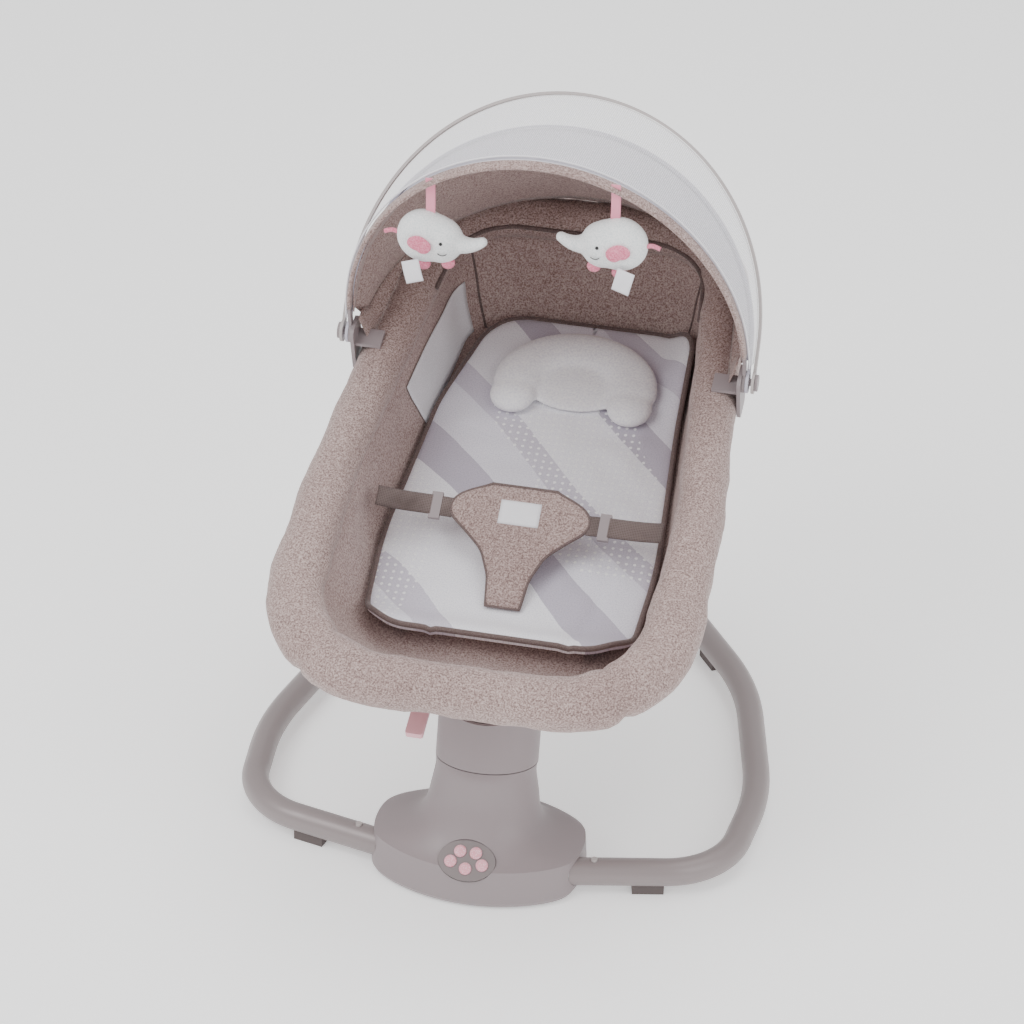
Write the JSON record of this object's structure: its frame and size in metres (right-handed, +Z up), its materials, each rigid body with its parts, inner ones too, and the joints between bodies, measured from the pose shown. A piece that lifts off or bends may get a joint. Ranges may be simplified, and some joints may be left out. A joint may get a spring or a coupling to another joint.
{
  "type": "baby swing",
  "caption": "Reclined baby swing seat with a stuffed rim, hood, net bow and hanging plush toys, on a tilted neck with a push-button pod and a floor loop.",
  "frame": {"origin": "floor point under the middle of the whole object", "axes": "+X to the right seen from the foot end, +Y to the head end, +Z up"},
  "size_m": [0.5772, 0.6908, 0.7365],
  "materials": {
    "grey_plastic": "satin",
    "grey_panel": "gloss",
    "pink_plastic": "satin",
    "light_plastic": "satin",
    "black_plastic": "matte",
    "painted_tube": "satin",
    "steel": "satin",
    "magnet": "matte",
    "copper_coil": "satin",
    "rubber": "matte",
    "board": "satin",
    "wood_board": "matte",
    "heather_fabric": "matte",
    "pad_fabric": "matte",
    "pillow_fabric": "matte",
    "hood_fabric": "matte",
    "net_fabric": "matte",
    "webbing": "matte",
    "toy_fabric": "matte"
  },
  "bodies": {
    "base": {"base_housing": "grey_plastic", "loop_tube_left": "painted_tube", "loop_tube_right": "painted_tube", "rear_joiner": "black_plastic", "spigot_left": "steel", "spigot_right": "steel", "base_bottom_cover": "grey_plastic", "battery_door": "grey_plastic", "battery_cells": "steel", "bottom_screws": "steel", "rubber_feet": "rubber", "control_board": "board", "speaker": "black_plastic", "power_socket": "black_plastic", "control_panel": "grey_panel", "lower_bearing": "steel", "upper_bearing": "steel", "bearing_housing": "black_plastic", "drive_coil": "copper_coil"},
    "swing": {"swing_shaft": "steel", "neck_shell": "grey_plastic", "magnet_arm": "black_plastic", "drive_magnet": "magnet", "recline_fork": "grey_plastic", "recline_pin": "steel"},
    "seat": {"seat_frame_foot": "steel", "seat_frame_head": "steel", "support_bar_front": "painted_tube", "support_bar_rear": "painted_tube", "frame_connectors": "black_plastic", "rim_bolster": "heather_fabric", "seat_cover": "heather_fabric", "seat_board": "wood_board", "seat_pad": "pad_fabric", "head_pillow": "pillow_fabric", "crotch_pad": "heather_fabric", "waist_strap_left": "webbing", "waist_strap_right": "webbing", "strap_sliders": "light_plastic", "seat_hub": "grey_plastic", "canopy_bracket_left": "light_plastic", "canopy_bracket_right": "light_plastic"},
    "release": {"release_lever": "pink_plastic"},
    "hood_middle": {"mid_bow": "light_plastic", "hood_rear_panel": "hood_fabric"},
    "hood_front": {"front_bow": "light_plastic", "hood_front_panel": "hood_fabric"},
    "net": {"net_bow": "light_plastic", "net_panel": "net_fabric"},
    "toy_left": {"toy_ribbon_left": "toy_fabric", "toy_elephant_left": "toy_fabric"},
    "toy_right": {"toy_ribbon_right": "toy_fabric", "toy_elephant_right": "toy_fabric"},
    "power_key": {"power_button": "pink_plastic"},
    "timer_key": {"timer_button": "pink_plastic"},
    "music_key": {"music_button": "pink_plastic"},
    "speed_key": {"speed_button": "pink_plastic"},
    "volume_key": {"volume_button": "pink_plastic"},
    "snap_left": {"snap_button_left": "light_plastic"},
    "snap_right": {"snap_button_right": "light_plastic"}
  },
  "joints": [
    {"name": "power_press", "type": "slide", "parent": "base", "child": "power_key", "axis": [0, 0.6691, -0.7431], "range_m": [0, 0.0012], "stiffness_N_per_m": 500, "springref_m": -0.0005},
    {"name": "timer_press", "type": "slide", "parent": "base", "child": "timer_key", "axis": [0, 0.6691, -0.7431], "range_m": [0, 0.0012], "stiffness_N_per_m": 500, "springref_m": -0.0005},
    {"name": "music_press", "type": "slide", "parent": "base", "child": "music_key", "axis": [0, 0.6691, -0.7431], "range_m": [0, 0.0012], "stiffness_N_per_m": 500, "springref_m": -0.0005},
    {"name": "speed_press", "type": "slide", "parent": "base", "child": "speed_key", "axis": [0, 0.6691, -0.7431], "range_m": [0, 0.0012], "stiffness_N_per_m": 500, "springref_m": -0.0005},
    {"name": "volume_press", "type": "slide", "parent": "base", "child": "volume_key", "axis": [0, 0.6691, -0.7431], "range_m": [0, 0.0012], "stiffness_N_per_m": 500, "springref_m": -0.0005},
    {"name": "snap_press_left", "type": "slide", "parent": "base", "child": "snap_left", "axis": [0, 0, -1], "range_m": [0, 0.004], "stiffness_N_per_m": 500, "springref_m": -0.0005},
    {"name": "snap_press_right", "type": "slide", "parent": "base", "child": "snap_right", "axis": [0, 0, -1], "range_m": [0, 0.004], "stiffness_N_per_m": 500, "springref_m": -0.0005},
    {"name": "seat_swing", "type": "hinge", "parent": "base", "child": "swing", "pos_m": [0, -0.20695, 0], "axis": [0, 0.2334, 0.9724], "range_deg": [-15, 15]},
    {"name": "recline", "type": "hinge", "parent": "swing", "child": "seat", "pos_m": [0, -0.1626, 0.18475], "axis": [1, 0, 0], "range_deg": [-10, 0]},
    {"name": "release_squeeze", "type": "hinge", "parent": "seat", "child": "release", "pos_m": [0, -0.14171, 0.21456], "axis": [1, 0, 0], "range_deg": [-6, 0], "stiffness_Nm_per_rad": 3, "springref_deg": 5.73},
    {"name": "hood_fold", "type": "hinge", "parent": "seat", "child": "hood_middle", "pos_m": [0, 0.08118, 0.46572], "axis": [1, 0, 0], "range_deg": [-30, 8], "deforming": ["hood_rear_panel"]},
    {"name": "hood_front_fold", "type": "hinge", "parent": "hood_middle", "child": "hood_front", "pos_m": [0, 0.08118, 0.46572], "axis": [1, 0, 0], "range_deg": [-24, 6.4], "deforming": ["hood_front_panel"]},
    {"name": "net_fold", "type": "hinge", "parent": "seat", "child": "net", "pos_m": [0, 0.08118, 0.46572], "axis": [1, 0, 0], "range_deg": [0, 110], "deforming": ["net_panel"]},
    {"name": "toy_swing_left", "type": "hinge", "parent": "hood_front", "child": "toy_left", "pos_m": [-0.115, 0.01793, 0.68629], "axis": [1, 0, 0], "range_deg": [-25, 25]},
    {"name": "toy_swing_right", "type": "hinge", "parent": "hood_front", "child": "toy_right", "pos_m": [0.081, 0.01186, 0.70749], "axis": [1, 0, 0], "range_deg": [-25, 25]}
  ],
  "couplings": [
    {"joint": "hood_front_fold", "follows": "hood_fold", "ratio": 0.8}
  ]
}
